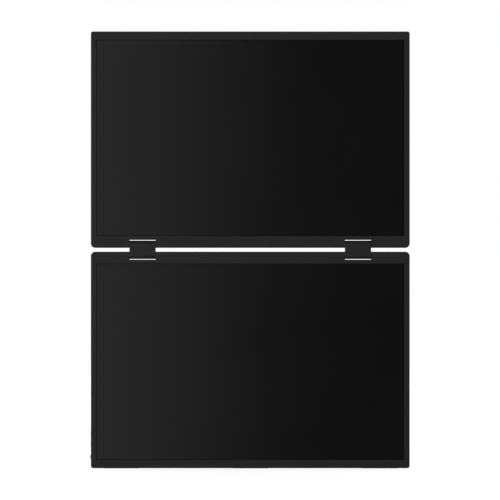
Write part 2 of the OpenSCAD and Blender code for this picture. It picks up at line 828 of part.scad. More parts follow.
// An idler: its gear and a trunnion into each gear plate
module idler(shift) {
    gear(shift);
    translate([plate_a_x, 0, 0]) rod_x(idler_pin_r, plate_b_x + gear_plate_t - plate_a_x);
}
module idler_gears_near() {
    color_copper() at_hinges() translate([0, 0, fold_z - gear_pitch_r]) idler(0.5);
}
module idler_gears_far() {
    color_copper() at_hinges() translate([0, 0, fold_z + gear_pitch_r]) idler(0);
}

// ---------- Hinge: the link between the pins ----------

// Bores for both shafts along a stretch of the link
module link_bores(r) {
    for (z = [-1, 1]) translate([-barrel_in - eps, 0, z * pin_span / 2]) rod_x(r, hinge_w + 2 * eps);
}

// Hollow shell of a link with closed ends
module link_shell() {
    difference() {
        translate([-barrel_in, 0, 0]) along_x(hinge_w) link_outline(barrel_r);
        translate([-barrel_in + barrel_end_t, 0, 0]) along_x(hinge_w - 2 * barrel_end_t)
            link_outline(inner_barrel_r);
        for (z = [-1, 1]) translate([block_x, 0, z * pin_span / 2])
            rod_x(shaft_r + shaft_hole_clear, hinge_w);
    }
}
link_split = 0.05;

// Half of the link's shell: the front half for side -1, the rear half for side 1
module link_cover(side) {
    difference() {
        translate([0, 0, fold_z]) {
            difference() {
                at_hinges() link_shell();
                translate([-hinge_x - barrel_in, 0, 0]) link_cable_bores();
            }
        }
        block([-panel_w, side > 0 ? -panel_t : -link_split, 0],
              [panel_w, side > 0 ? link_split : panel_t, total_z]);
        if (side > 0) at_link_screws() link_screw_hole();
    }
}
module link_cable_bores() {
    for (z = [-1, 1]) translate([-barrel_end_t, 0, z * pin_span / 2])
        rod_x(cable_r + shaft_hole_clear, 3 * barrel_end_t);
}
module hinge_front_covers() { color_dark() link_cover(-1); }
module hinge_rear_covers() { color_dark() link_cover(1); }

// A plate across the link, with bores for the shafts and, if asked, for the idlers
module link_plate(x, t, idler_bores) {
    difference() {
        translate([x, 0, 0]) along_x(t) link_outline(plate_outline_r);
        link_bores(shaft_r + running_clear);
        if (idler_bores)
            for (z = [-1, 1]) translate([x - eps, 0, z * gear_pitch_r])
                rod_x(idler_pin_r + running_clear, t + 2 * eps);
    }
}
module hinge_gear_plates() {
    color_steel() translate([0, 0, fold_z]) at_hinges() {
        link_plate(plate_a_x, gear_plate_t, true);
        link_plate(plate_b_x, gear_plate_t, true);
    }
}
module hinge_friction_plates() {
    color_steel() translate([0, 0, fold_z]) at_hinges()
        for (i = [0:friction_plates - 1])
            link_plate(stack_x + washer_t + stack_gap + i * stack_pitch, friction_plate_t, false);
}
link_screw_r = 0.9;
link_screw_head_r = 1.6;
link_screw_head_t = 0.6;
link_screw_l = 3;

// The screws that hold the rear cover to the hinge block
module at_link_screws() {
    translate([0, barrel_r, fold_z]) at_hinges() translate([(block_x + block_end_x) / 2, 0, 0]) children();
}
module link_screw_hole() {
    translate([0, -panel_t / 2, 0]) rod_y(link_screw_r + screw_clear, panel_t);
    translate([0, -link_screw_head_t, 0]) rod_y(link_screw_head_r + screw_clear, panel_t);
}
module hinge_blocks() {
    color_steel() difference() {
        translate([0, 0, fold_z]) at_hinges() link_plate(block_x, block_end_x - block_x, false);
        at_link_screws() translate([0, -barrel_wall - plate_clear - link_screw_l, 0])
            rod_y(link_screw_r + running_clear, panel_t);
    }
}
module hinge_cover_screws() {
    color_steel() at_link_screws() translate([0, -link_screw_head_t, 0]) {
        rod_y(link_screw_head_r, link_screw_head_t);
        translate([0, -link_screw_l, 0]) rod_y(link_screw_r, link_screw_l + eps);
    }
}

// ---------- Cable through the left hinge ----------

cable_bay_x = -barrel_in + barrel_end_t + cable_bay / 2;
cable_turn_gap = 6;
cable_turn_x = -notch_half_w - cable_turn_gap;
cable_drop = 38;
cable_board_in = 15;
cable_in_x = cable_board_in - drive_board_w / 2;
cable_joint = 0.15;

// Round cable with ball corners through a few points
module cable_run(points) {
    for (i = [0:len(points) - 2]) {
        step = points[i + 1] - points[i];
        along = norm(step);
        translate(points[i]) rotate([0, acos(step[2] / along), atan2(step[1], step[0])])
            cylinder(r = cable_r, h = along);
    }
    for (i = [1:len(points) - 2]) translate(points[i]) sphere(cable_r);
}
module hinge_link_cable() {
    color([0.05, 0.05, 0.05]) translate([-hinge_x, 0, fold_z]) cable_run([
        [-barrel_in - cable_joint / 2, 0, -pin_span / 2], [cable_bay_x, 0, -pin_span / 2],
        [cable_bay_x, 0, pin_span / 2], [-barrel_in - cable_joint / 2, 0, pin_span / 2]]);
}
module hinge_cable() {
    color([0.05, 0.05, 0.05]) cable_run([
        [-hinge_x - barrel_in - cable_joint, 0, pin_z], [-hinge_x + cable_turn_x, 0, pin_z],
        [-hinge_x + cable_turn_x, 0, pin_z - cable_drop], [cable_in_x, 0, pin_z - cable_drop],
        [cable_in_x, 0, drive_board_z[0]]]);
}

// ---------- Main board and sockets of the lower panel ----------

board_z = [14, 112];
board_post_l = 0.4;
board_y = inner_back_y - board_post_l - board_t;
board_wall_gap = 0.4;
board_recess_gap = 7.5;
board_x0 = recess_outer_x + board_recess_gap;
board_x1 = inner_x - board_wall_gap;
post_r = 2.2;
post_inset = 4;
post_edge_inset = 14;
board_screw_r = 0.8;
board_screw_head_r = 1.6;
board_screw_head_t = 0.8;
board_screw_l = 2;
socket_setback = 0.3;
socket_x = panel_w / 2 - socket_setback;
usb_w = 8.9;
usb_t = 3.2;
usb_depth = 7.3;
usb_wall = 0.3;
usb_tongue_t = 0.7;
hdmi_w = 11.2;
hdmi_t = 3.2;
hdmi_chamfer = 0.9;
audio_body_r = 2.2;
window_clear = 0.2;
socket_y = board_y - usb_t / 2;
audio_sink = 0.75;
audio_y = board_y - audio_body_r + audio_sink;
audio_end_t = 1;
audio_end_gap = 0.7;
tongue_setback = 1;
ribbon_w = 12;
ribbon_t = 0.2;
ribbon_in = 12;
ribbon_x = board_x0 + ribbon_in;
ribbon_lap = 2;
plug_h = 4;
plug_in = 6;
plug_top = board_z[1] - plug_in;
// Chips of the main board: distance from an edge, height on the board, width and height
outer_chips = [[24, 40, 14, 14], [24, 62, 8, 10], [20, 22, 12, 4]];
inner_chips = [[14, 34, 10, 7], [12, 54, 6, 6]];

module at_board_posts() {
    for (x = [board_x0 + post_inset, board_x1 - post_edge_inset],
         z = [board_z[0] + post_inset, board_z[1] - post_inset])
        translate([x, 0, z]) children();
}
module board_posts() {
    at_board_posts() translate([0, board_y + board_t, 0]) rod_y(post_r, inner_back_y + eps - board_y - board_t);
}
module scaler_screws() {
    color_steel() in_lower() at_board_posts() translate([0, board_y, 0]) {
        translate([0, -board_screw_head_t, 0]) rod_y(board_screw_head_r, board_screw_head_t);
        translate([0, -eps, 0]) rod_y(board_screw_r, board_screw_l);
    }
}
module scaler_board() {
    color_board() in_lower() difference() {
        union() {
            block([board_x0, board_y, board_z[0]], [board_x1, board_y + board_t, board_z[1]]);
            for (chip = outer_chips) board_chip(board_x1 - chip[0], chip);
            for (chip = inner_chips) board_chip(board_x0 + chip[0], chip);
            block([ribbon_x - ribbon_w / 2, tray_back_y + ribbon_t, plug_top - plug_h],
                  [ribbon_x + ribbon_w / 2, board_y + eps, plug_top]);
        }
        at_board_posts() translate([0, board_y - eps, 0]) rod_y(board_screw_r + screw_clear, board_t + 2 * eps);
        translate([socket_x - audio_depth - audio_end_t - audio_end_gap, audio_y, audio_z])
            rod_x(audio_body_r + window_clear, panel_w);
    }
}
module board_chip(x, chip) {
    translate([x, board_y - chip_t, board_z[0] + chip[1]])
        block([-chip[2] / 2, 0, -chip[3] / 2], [chip[2] / 2, chip_t + eps, chip[3] / 2]);
}
// Flat ribbon on the tray's back, from the main board to the display's drive board
module display_ribbon() {
    color([0.75, 0.6, 0.3]) in_lower() {
        block([ribbon_x - ribbon_w / 2, tray_back_y, plug_top - plug_h - ribbon_lap],
              [ribbon_x + ribbon_w / 2, tray_back_y + ribbon_t, drive_board_z[0] + ribbon_w]);
        block([drive_board_w / 2, tray_back_y, drive_board_z[0]],
              [ribbon_x, tray_back_y + ribbon_t, drive_board_z[0] + ribbon_w]);
    }
}

// Outlines of the sockets, as (y, z)
module usb_outline(grow) { slot(usb_t + 2 * grow, usb_w + 2 * grow); }
module hdmi_outline(grow) {
    w = hdmi_w / 2 + grow;
    t = hdmi_t / 2 + grow;
    polygon([[t, -w], [t, w], [-t + hdmi_chamfer, w], [-t, w - hdmi_chamfer],
             [-t, -w + hdmi_chamfer], [-t + hdmi_chamfer, -w]]);
}
module port_windows() {
    translate([inner_x - panel_t, 0, 0]) {
        for (z = usb_z) translate([0, socket_y, z]) along_x(panel_w) usb_outline(window_clear);
        translate([0, socket_y, hdmi_z]) along_x(panel_w) hdmi_outline(window_clear);
        translate([0, audio_y, audio_z]) rod_x(audio_body_r + window_clear, panel_w);
    }
}
module usb_sockets() {
    color_steel() in_lower() for (z = usb_z) translate([socket_x - usb_depth, socket_y, z]) {
        difference() {
            along_x(usb_depth) usb_outline(0);
            translate([usb_wall, 0, 0]) along_x(usb_depth) usb_outline(-usb_wall);
        }
        translate([usb_wall / 2, 0, 0])
            block([0, -usb_tongue_t / 2, -usb_w / 2 + usb_t / 2],
                  [usb_depth - tongue_setback, usb_tongue_t / 2, usb_w / 2 - usb_t / 2]);
    }
}
module hdmi_socket() {
    color_steel() in_lower() translate([socket_x - usb_depth, socket_y, hdmi_z]) {
        difference() {
            along_x(usb_depth) hdmi_outline(0);
            translate([usb_wall, 0, 0]) along_x(usb_depth) hdmi_outline(-usb_wall);
        }
        translate([usb_wall / 2, 0, 0])
            block([0, -usb_tongue_t / 2, -hdmi_w / 4],
                  [usb_depth - tongue_setback, usb_tongue_t / 2, hdmi_w / 4]);
    }
}
module audio_socket() {
    color_dark() in_lower() translate([socket_x - audio_depth, audio_y, audio_z]) difference() {
        translate([-audio_end_t, 0, 0]) rod_x(audio_body_r, audio_depth + audio_end_t);
        rod_x(audio_r, audio_depth + eps);
    }
}

// ---------- Speakers ----------

speaker_z = 126;
speaker_gap = 12.95;
speaker_x = (recess_outer_x + inner_x) / 2;
speaker_w = inner_x - recess_outer_x - 2 * speaker_gap;
speaker_h = 15;
speaker_t = 3.6;
speaker_corner_r = 4;
speaker_rim = 2.5;
module at_speakers() { both_sides() translate([speaker_x, 0, speaker_z]) children(); }
module speakers() {
    cone_w = speaker_w - 2 * speaker_rim;
    cone_h = speaker_h - 2 * speaker_rim;
    color([0.1, 0.1, 0.1]) in_lower() at_speakers() translate([0, inner_back_y - speaker_t, 0]) difference() {
        along_y(speaker_t) round_rect(speaker_w, speaker_h, speaker_corner_r);
        translate([0, speaker_t / 2, 0])
            along_y(speaker_t) round_rect(cone_w, cone_h, speaker_corner_r - speaker_rim / 2);
    }
}

// ---------- Keys ----------

flange_t = 0.6;
flange_lap = 0.6;
flange_gap = 0.05;
key_y = 0.9;
switch_gap = 0.06;
switch_t = 1.2;
key_board_z = [7.5, 42];
key_board_lap = 0.9;
switch_w = 2.6;

module key_outline(w, h, grow) { slot(w + 2 * grow, h + 2 * grow); }

// A key on the left edge: its cap in the window and a flange behind the wall
module edge_key(z, length, proud) {
    in_lower() translate([-panel_w / 2 - proud, key_y, z]) {
        along_x(proud + wall_t + flange_gap + eps) key_outline(key_t, length, 0);
        translate([proud + wall_t + flange_gap, 0, 0]) along_x(flange_t) key_outline(key_t, length, flange_lap);
    }
}
module up_key() { color_dark() edge_key(up_key_z, pill_key_l, pill_proud); }
module down_key() { color_dark() edge_key(down_key_z, pill_key_l, pill_proud); }
module power_key() { color_dark() edge_key(power_key_z, power_key_l, power_proud); }

module key_windows() {
    for (key = [[up_key_z, pill_key_l], [down_key_z, pill_key_l], [power_key_z, power_key_l]])
        translate([-panel_w, key_y, key[0]]) along_x(panel_w / 2 + wall_t + flange_lap)
            key_outline(key_t, key[1], key_clear);
}
// Small upright board with one switch behind each key
switch_face_x = -inner_x + flange_gap + flange_t;
key_board_x = switch_face_x + power_travel + switch_gap + switch_t;
module key_board() {
    color_board() in_lower() {
        block([key_board_x, key_y - key_t / 2 - key_board_lap, key_board_z[0]],
              [key_board_x + board_t, inner_back_y, key_board_z[1]]);
        for (key = [[up_key_z, pill_travel], [down_key_z, pill_travel], [power_key_z, power_travel]])
            block([switch_face_x + key[1] + switch_gap, key_y - switch_w / 2, key[0] - switch_w / 2],
                  [key_board_x + eps, key_y + switch_w / 2, key[0] + switch_w / 2]);
    }
}

// ---------- Stand ----------

foot_h = 12;
foot_screw_z = 8.4;
foot_screw_r = 0.8;
foot_screw_head_r = 1.5;
foot_screw_head_t = 0.4;
foot_screw_x = 4;
nut_plate_t = 0.9;
pocket_clear = 0.05;
knuckle_gap = 0.3;
stand_neck_h = 0.6;
pad_w = 60;
pad_l = 10;
pad_corner_r = 4;
pad_sink = 0.6;
pad_clear = 0.1;
pad_in = 14;
pad_root_in = 22;
pad_x = 72;
stand_rib = 10;
stand_bays = 3;

// Both stand brackets, at their feet in the lower panel
module at_stand_brackets() {
    for (x = [-1, 1]) translate([x * stand_bracket_x, 0, 0]) children();
}
module stand_bracket_pocket() {
    block([-stand_bracket_w / 2 - pocket_clear, recess_y - stand_foot_t, -panel_t],
          [stand_bracket_w / 2 + pocket_clear, recess_y + panel_t, pad_proud - base_z + foot_h + pocket_clear]);
    for (x = [-1, 1]) translate([x * foot_screw_x, 0, foot_screw_z])
        rod_y(foot_screw_r + screw_clear, panel_t);
}
module stand_brackets() {
    color_steel() at_stand_brackets() difference() {
        union() {
            block([-stand_bracket_w / 2, recess_y - stand_foot_t, pad_proud],
                  [stand_bracket_w / 2, recess_y, pad_proud + foot_h]);
            block([-stand_bracket_w / 2, recess_y - eps, pad_proud],
                  [stand_bracket_w / 2, stand_pivot_y, stand_pivot_z + stand_neck_h]);
            translate([-stand_bracket_w / 2, stand_pivot_y, stand_pivot_z]) rod_x(stand_t / 2, stand_bracket_w);
        }
        translate([-stand_bracket_w, stand_pivot_y, stand_pivot_z]) rod_x(stand_pin_r, 2 * stand_bracket_w);
        for (x = [-1, 1]) translate([x * foot_screw_x, 0, base_z + foot_screw_z]) {
            rod_y(foot_screw_r + screw_clear, panel_t);
            translate([0, recess_y - foot_screw_head_t, 0]) rod_y(foot_screw_head_r + screw_clear, panel_t);
        }
    }
}
module stand_nut_plates() {
    color_steel() at_stand_brackets() difference() {
        block([-stand_bracket_w / 2, recess_inner_y - nut_plate_t, base_z + wall_t + pocket_clear],
              [stand_bracket_w / 2, recess_inner_y, pad_proud + foot_h]);
        for (x = [-1, 1]) translate([x * foot_screw_x, -panel_t, base_z + foot_screw_z])
            rod_y(foot_screw_r + running_clear, 2 * panel_t);
    }
}
module stand_bracket_screws() {
    color_steel() at_stand_brackets()
        for (x = [-1, 1]) translate([x * foot_screw_x, 0, base_z + foot_screw_z]) {
            translate([0, recess_y - foot_screw_head_t, 0]) rod_y(foot_screw_head_r, foot_screw_head_t);
            translate([0, recess_inner_y - nut_plate_t, 0])
                rod_y(foot_screw_r, recess_floor_t + nut_plate_t - foot_screw_head_t + eps);
        }
}
stand_pin_grip = 8;
stand_pin_l = stand_bracket_w + 2 * stand_pin_grip;
module stand_pins() {
    color_steel() at_stand_brackets()
        translate([-stand_pin_l / 2, stand_pivot_y, stand_pivot_z]) rod_x(stand_pin_r, stand_pin_l);
}

// Foot plate, open: it lies behind the panel, just above the desk
module stand_plate() {
    color_steel() difference() {
        union() {
            translate([0, stand_pivot_y, pad_proud]) linear_extrude(stand_t)
                tab_outline(stand_w, stand_l, stand_corner_r);
            translate([-stand_w / 2, stand_pivot_y, stand_pivot_z]) rod_x(stand_t / 2, stand_w);
        }
        // room for the brackets' knuckles, then the pins' bores
        at_stand_brackets() {
            block([-stand_bracket_w / 2 - knuckle_gap, 0, -panel_t],
                  [stand_bracket_w / 2 + knuckle_gap, stand_pivot_y + stand_t / 2 + knuckle_gap, panel_t]);
            translate([-stand_pin_l / 2 - knuckle_gap, stand_pivot_y, stand_pivot_z])
                rod_x(stand_pin_r + running_clear, stand_pin_l + 2 * knuckle_gap);
        }
        stand_bays();
        at_pads() translate([0, 0, -eps]) linear_extrude(pad_sink + eps)
            round_rect(pad_w + 2 * pad_clear, pad_l + 2 * pad_clear, pad_corner_r);
    }
}
// Pockets between the ribs on the plate's upper side
module stand_bays() {
    bay_w = (stand_w - (stand_bays + 1) * stand_rib) / stand_bays;
    bay_l = stand_l - 3 * stand_rib;
    for (i = [0:stand_bays - 1])
        translate([-stand_w / 2 + stand_rib + bay_w / 2 + i * (bay_w + stand_rib),
                   stand_pivot_y + 2 * stand_rib + bay_l / 2, pad_proud + stand_t - stand_pocket_d])
            linear_extrude(stand_t) round_rect(bay_w, bay_l, stand_corner_r / 2);
}
// Rubber pads under the plate, near its free edge and near its root
module at_pads() {
    for (x = [-1, 1], y = [stand_pivot_y + pad_root_in, stand_pivot_y + stand_l - pad_in])
        translate([x * pad_x, y, pad_proud]) children();
}
module stand_pads() {
    color([0.1, 0.1, 0.1]) at_pads()
        translate([0, 0, -pad_proud]) linear_extrude(pad_proud + pad_sink)
            round_rect(pad_w, pad_l, pad_corner_r);
}

// ---------- Both panels' copies ----------

module lower_front_frame() { color_dark() in_lower() front_frame(); }
module upper_front_frame() { color_dark() in_upper() front_frame(); }
module upper_rear_cover() { color_dark() in_upper() rear_cover(); }
module lower_lcd_glass() { in_lower() lcd_glass(); }
module upper_lcd_glass() { in_upper() lcd_glass(); }
module lower_film_stack() { in_lower() film_stack(); }
module upper_film_stack() { in_upper() film_stack(); }
module lower_light_guide() { in_lower() light_guide(); }
module upper_light_guide() { in_upper() light_guide(); }
module lower_backlight_tray() { in_lower() backlight_tray(); }
module upper_backlight_tray() { in_upper() backlight_tray(); }
module lower_led_strip() { in_lower() led_strip(); }
module upper_led_strip() { in_upper() led_strip(); }
module lower_panel_board() { in_lower() panel_board(); }
module upper_panel_board() { in_upper() panel_board(); }
module lower_case_screws() { color_steel() in_lower() case_screws(); }
module upper_case_screws() { color_steel() in_upper() case_screws(); }
module lower_closing_magnets() { in_lower() closing_magnets(); }
module upper_closing_magnets() { in_upper() closing_magnets(); }
module lower_hinge_brackets() { in_lower() hinge_brackets(); }
module upper_hinge_brackets() { in_upper() hinge_brackets(); }
module lower_bracket_screws() { in_lower() bracket_screws(); }
module upper_bracket_screws() { in_upper() bracket_screws(); }
module lower_hinge_cable() { in_lower() hinge_cable(); }
module upper_hinge_cable() { in_upper() hinge_cable(); }

lower_front_frame();
lower_rear_cover();
lower_lcd_glass();
lower_film_stack();
lower_light_guide();
lower_backlight_tray();
lower_led_strip();
lower_panel_board();
lower_case_screws();
lower_closing_magnets();
lower_hinge_shafts();
lower_hinge_brackets();
lower_bracket_screws();
lower_hinge_cable();
upper_front_frame();
upper_rear_cover();
upper_lcd_glass();
upper_film_stack();
upper_light_guide();
upper_backlight_tray();
upper_led_strip();
upper_panel_board();
upper_case_screws();
upper_closing_magnets();
upper_hinge_shafts();
upper_hinge_brackets();
upper_bracket_screws();
upper_hinge_cable();
hinge_front_covers();
hinge_rear_covers();
hinge_gear_plates();
hinge_friction_plates();
hinge_blocks();
hinge_cover_screws();
hinge_link_cable();
idler_gears_near();
idler_gears_far();
scaler_board();
scaler_screws();
display_ribbon();
speakers();
usb_sockets();
hdmi_socket();
audio_socket();
threaded_inserts();
key_board();
up_key();
down_key();
power_key();
foot_strips();
stand_brackets();
stand_nut_plates();
stand_bracket_screws();
stand_pins();
stand_plate();
stand_pads();
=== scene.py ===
"""Looks of a stacked twin-screen extender: finishes, small details, floor, light and camera."""

import math

import bmesh
import bpy
from mathutils import Matrix, Vector


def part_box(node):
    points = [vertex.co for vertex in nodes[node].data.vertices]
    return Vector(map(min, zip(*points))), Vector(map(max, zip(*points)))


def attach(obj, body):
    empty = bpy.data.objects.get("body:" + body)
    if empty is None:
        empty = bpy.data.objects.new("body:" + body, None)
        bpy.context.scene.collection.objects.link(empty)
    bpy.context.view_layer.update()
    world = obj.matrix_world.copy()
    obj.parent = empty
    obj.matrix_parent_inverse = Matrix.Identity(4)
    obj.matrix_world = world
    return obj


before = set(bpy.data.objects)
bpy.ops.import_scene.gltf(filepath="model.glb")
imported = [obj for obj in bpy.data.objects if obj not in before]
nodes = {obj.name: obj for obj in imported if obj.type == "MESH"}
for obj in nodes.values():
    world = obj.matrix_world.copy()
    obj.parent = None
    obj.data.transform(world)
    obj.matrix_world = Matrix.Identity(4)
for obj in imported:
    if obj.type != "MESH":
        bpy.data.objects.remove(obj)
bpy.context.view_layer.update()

MM = 0.001                     # the script's own unit is the metre

# ---------- Camera: straight on, level with the fold ----------

MM_PER_PIXEL = 1.1223          # at the front faces of the panels
PHOTO_SIZE = 500               # pixels, both ways
PHOTO_CENTRE_X = 250.27        # where the panels' middle stands in the photograph
PHOTO_DESK_Y = 468.5           # where the desk line stands in the photograph
CAMERA_DISTANCE = 4.0          # from the front faces
CAMERA_REACH = 200             # further than the floor's corners
SENSOR = 36.0                  # width in millimetres, as Blender takes it


def make_camera():
    """Camera that frames the front faces as the photograph does."""
    front_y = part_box("lower_front_frame")[0].y
    pixel = MM_PER_PIXEL * MM
    camera = bpy.data.objects.new("camera", bpy.data.cameras.new("camera"))
    camera.data.sensor_width = SENSOR
    camera.data.lens = SENSOR * CAMERA_DISTANCE / (PHOTO_SIZE * pixel)
    camera.data.clip_end = CAMERA_REACH
    camera.location = (
        (PHOTO_SIZE / 2 - PHOTO_CENTRE_X) * pixel,
        front_y - CAMERA_DISTANCE,
        (PHOTO_DESK_Y - PHOTO_SIZE / 2) * pixel,
    )
    camera.rotation_euler = (math.radians(90), 0, 0)
    bpy.context.scene.collection.objects.link(camera)
    bpy.context.scene.camera = camera


# ---------- Material helpers ----------

NOISE_LOW = 0.3                # most of a noise texture's values lie between these two
NOISE_HIGH = 0.7
EVEN = (1, 1, 1)               # no tint, or no stretch


def add_node(tree, kind, inputs=None, **settings):
    """A node with its settings and its inputs: values are set, sockets are linked."""
    node = tree.nodes.new(kind)
    for name, value in settings.items():
        setattr(node, name, value)
    for name, value in (inputs or {}).items():
        if isinstance(value, bpy.types.NodeSocket):
            tree.links.new(value, node.inputs[name])
        else:
            node.inputs[name].default_value = value
    return node


def grey(value, tint=EVEN):
    """An opaque colour from one linear value and a tint."""
    return (value * tint[0], value * tint[1], value * tint[2], 1)


def object_coords(tree, stretch=EVEN):
    """Coordinates of the piece itself, stretched for brushed surfaces."""
    coords = add_node(tree, "ShaderNodeTexCoord")
    mapping = add_node(tree, "ShaderNodeMapping", {
        "Vector": coords.outputs["Object"], "Scale": stretch})
    return mapping.outputs["Vector"]


def noise(tree, vector, size, detail=3):
    """Noise whose blobs are about as wide as size."""
    texture = add_node(tree, "ShaderNodeTexNoise", {
        "Vector": vector, "Scale": 1 / size, "Detail": detail})
    return texture.outputs["Fac"]


def spread(tree, factor, low, high):
    """Maps a noise's usual range onto low to high."""
    return add_node(tree, "ShaderNodeMapRange", {
        "Value": factor, "From Min": NOISE_LOW, "From Max": NOISE_HIGH,
        "To Min": low, "To Max": high}).outputs["Result"]


def two_tone(tree, factor, dark, light):
    """Colour that runs from dark to light over a noise's usual range."""
    ramp = add_node(tree, "ShaderNodeValToRGB", {"Fac": factor})
    first, last = ramp.color_ramp.elements
    first.position = NOISE_LOW
    first.color = dark
    last.position = NOISE_HIGH
    last.color = light
    return ramp.outputs["Color"]


def calculate(tree, operation, first, second):
    """Result of a Math node."""
    return add_node(tree, "ShaderNodeMath", {0: first, 1: second}, operation=operation).outputs[0]


def mix_colours(tree, factor, first, second):
    """The first colour where the factor is 0 and the second where it is 1."""
    return add_node(tree, "ShaderNodeMix", {0: factor, 6: first, 7: second},
                    data_type="RGBA").outputs[2]


def mix_values(tree, factor, first, second):
    """The first value where the factor is 0 and the second where it is 1."""
    return add_node(tree, "ShaderNodeMix", {0: factor, 2: first, 3: second}).outputs[0]


def bump(tree, height, depth, strength=0.3):
    """Bump of a height whose full range is as deep as depth."""
    return add_node(tree, "ShaderNodeBump", {
        "Height": height, "Distance": depth, "Strength": strength}).outputs["Normal"]


def surface(name, shades, roughness, tint=EVEN, light_tint=None, patch=30 * MM, grain=0.4 * MM,
            depth=0.02 * MM, bump_strength=0.3, metallic=0.0, stretch=EVEN, **sockets):
    """Principled material with patchy colour, uneven roughness and a fine grain.

    shades and roughness give both ends of the patches, whose width is patch; grain is the grain's
    width and depth its height. Other arguments are sockets of the shader.
    """
    material = bpy.data.materials.new(name)
    material.use_nodes = True
    tree = material.node_tree
    shader = tree.nodes["Principled BSDF"]
    dark = grey(shades[0], tint)
    light = grey(shades[1], light_tint or tint)
    vector = object_coords(tree, stretch)
    patches = noise(tree, vector, patch)
    grains = noise(tree, vector, grain, detail=2)
    shader.inputs["Metallic"].default_value = metallic
    for socket, value in sockets.items():
        shader.inputs[socket.replace("_", " ")].default_value = value
    tree.links.new(two_tone(tree, patches, dark, light), shader.inputs["Base Color"])
    tree.links.new(spread(tree, patches, *roughness), shader.inputs["Roughness"])
    tree.links.new(bump(tree, grains, depth, bump_strength), shader.inputs["Normal"])
    return material


def put_on(material, *names):
    """Gives CAD nodes one material all over."""
    for name in names:
        data = nodes[name].data
        data.materials.clear()
        data.materials.append(material)


def both(*names):
    """The lower and the upper panel's copies of some nodes."""
    return [side + "_" + name for side in ("lower", "upper") for name in names]


# ---------- Finishes ----------

def finish_casings():
    """Moulded plastic: a fine spark-eroded grain in front, a coarser one behind."""
    put_on(surface("bezel_plastic", shades=(0.0123, 0.0133), roughness=(0.5, 0.56),
                   grain=0.5 * MM, depth=0.03 * MM, Specular_IOR_Level=0.12),
           *both("front_frame"))
    put_on(surface("cover_plastic", shades=(0.0178, 0.0192), roughness=(0.54, 0.58),
                   grain=0.6 * MM, depth=0.06 * MM, bump_strength=0.5, Specular_IOR_Level=0.4),
           *both("rear_cover"))
    put_on(surface("hinge_paint", shades=(0.0125, 0.0135), roughness=(0.46, 0.52),
                   Specular_IOR_Level=0.12),
           "hinge_front_covers")
    put_on(surface("hinge_rear_paint", shades=(0.016, 0.019), roughness=(0.46, 0.54),
                   Specular_IOR_Level=0.35),
           "hinge_rear_covers")
    put_on(surface("key_plastic", shades=(0.013, 0.016), roughness=(0.38, 0.45),
                   grain=0.3 * MM, depth=0.01 * MM),
           "up_key", "down_key", "power_key")


def finish_display():
    """Anti-glare display faces, switched off, and the layers behind them."""
    put_on(surface("display_border", shades=(0.0015, 0.0020), roughness=(0.13, 0.15),
                   patch=80 * MM, grain=0.3 * MM, depth=0.0003 * MM, bump_strength=0.1,
                   Specular_IOR_Level=0.15),
           *both("lcd_glass"))
    put_on(surface("film_white", shades=(0.8, 0.86), roughness=(0.5, 0.6)),
           *both("film_stack"))
    put_on(surface("guide_acrylic", shades=(0.7, 0.76), roughness=(0.1, 0.2), tint=(0.95, 1, 1)),
           *both("light_guide"))
    put_on(surface("tray_metal", shades=(0.6, 0.68), roughness=(0.3, 0.45), metallic=1.0,
                   stretch=(0.05, 1, 1), depth=0.01 * MM),
           *both("backlight_tray"))
    put_on(surface("lamp_strip", shades=(0.8, 0.9), roughness=(0.3, 0.5), tint=(1, 0.95, 0.6)),
           *both("led_strip"))


def brass(name, shades):
    """Machined brass, as on the inserts and the idler gears."""
    return surface(name, shades, roughness=(0.25, 0.4), tint=(1, 0.72, 0.35),
                   light_tint=(1, 0.74, 0.38), metallic=1.0, patch=2 * MM, grain=0.3 * MM,
                   depth=0.01 * MM)


def finish_metals():
    """Steel, brass and aluminium."""
    put_on(surface("zinc_steel", shades=(0.5, 0.58), roughness=(0.28, 0.4), metallic=1.0,
                   patch=4 * MM, grain=0.3 * MM, depth=0.01 * MM),
           *both("hinge_brackets", "bracket_screws", "closing_magnets"), "hinge_blocks",
           "scaler_screws", "stand_brackets", "stand_nut_plates", "stand_bracket_screws",
           "stand_pins")
    put_on(surface("hinge_steel", shades=(0.3, 0.38), roughness=(0.25, 0.38), metallic=1.0,
                   patch=3 * MM, stretch=(0.2, 1, 1), depth=0.01 * MM),
           *both("hinge_shafts"), "hinge_gear_plates", "hinge_friction_plates")
    put_on(surface("socket_steel", shades=(0.42, 0.5), roughness=(0.22, 0.34), metallic=1.0,
                   patch=3 * MM, stretch=(0.2, 1, 1), depth=0.008 * MM),
           "usb_sockets", "hdmi_socket")
    put_on(brass("brass", shades=(0.6, 0.7)),
           "threaded_inserts", "idler_gears_near", "idler_gears_far")
    put_on(surface("black_oxide", shades=(0.02, 0.03), roughness=(0.35, 0.5), metallic=0.6,
                   patch=2 * MM, depth=0.01 * MM),
           *both("case_screws"), "hinge_cover_screws")
    put_on(surface("anodised_aluminium", shades=(0.033, 0.037), roughness=(0.4, 0.44),
                   metallic=0.3, patch=20 * MM, grain=0.25 * MM, depth=0.03 * MM,
                   bump_strength=0.5),
           "stand_plate")


MASK_TINT = (0.3, 1.6, 0.6)    # green solder mask
BOARD_T = 0.8 * MM
PART_RISE = 0.05 * MM          # what stands further than this off a board's face is a part on it
TRACK_PITCH = 0.8 * MM
TRACK_LENGTH = 14 * MM
TRACK_GAP = 0.2 * MM
TRACK_RISE = 0.04 * MM
LAMINATE_PATCH = 2 * MM
MOULDED_PATCH = 1 * MM


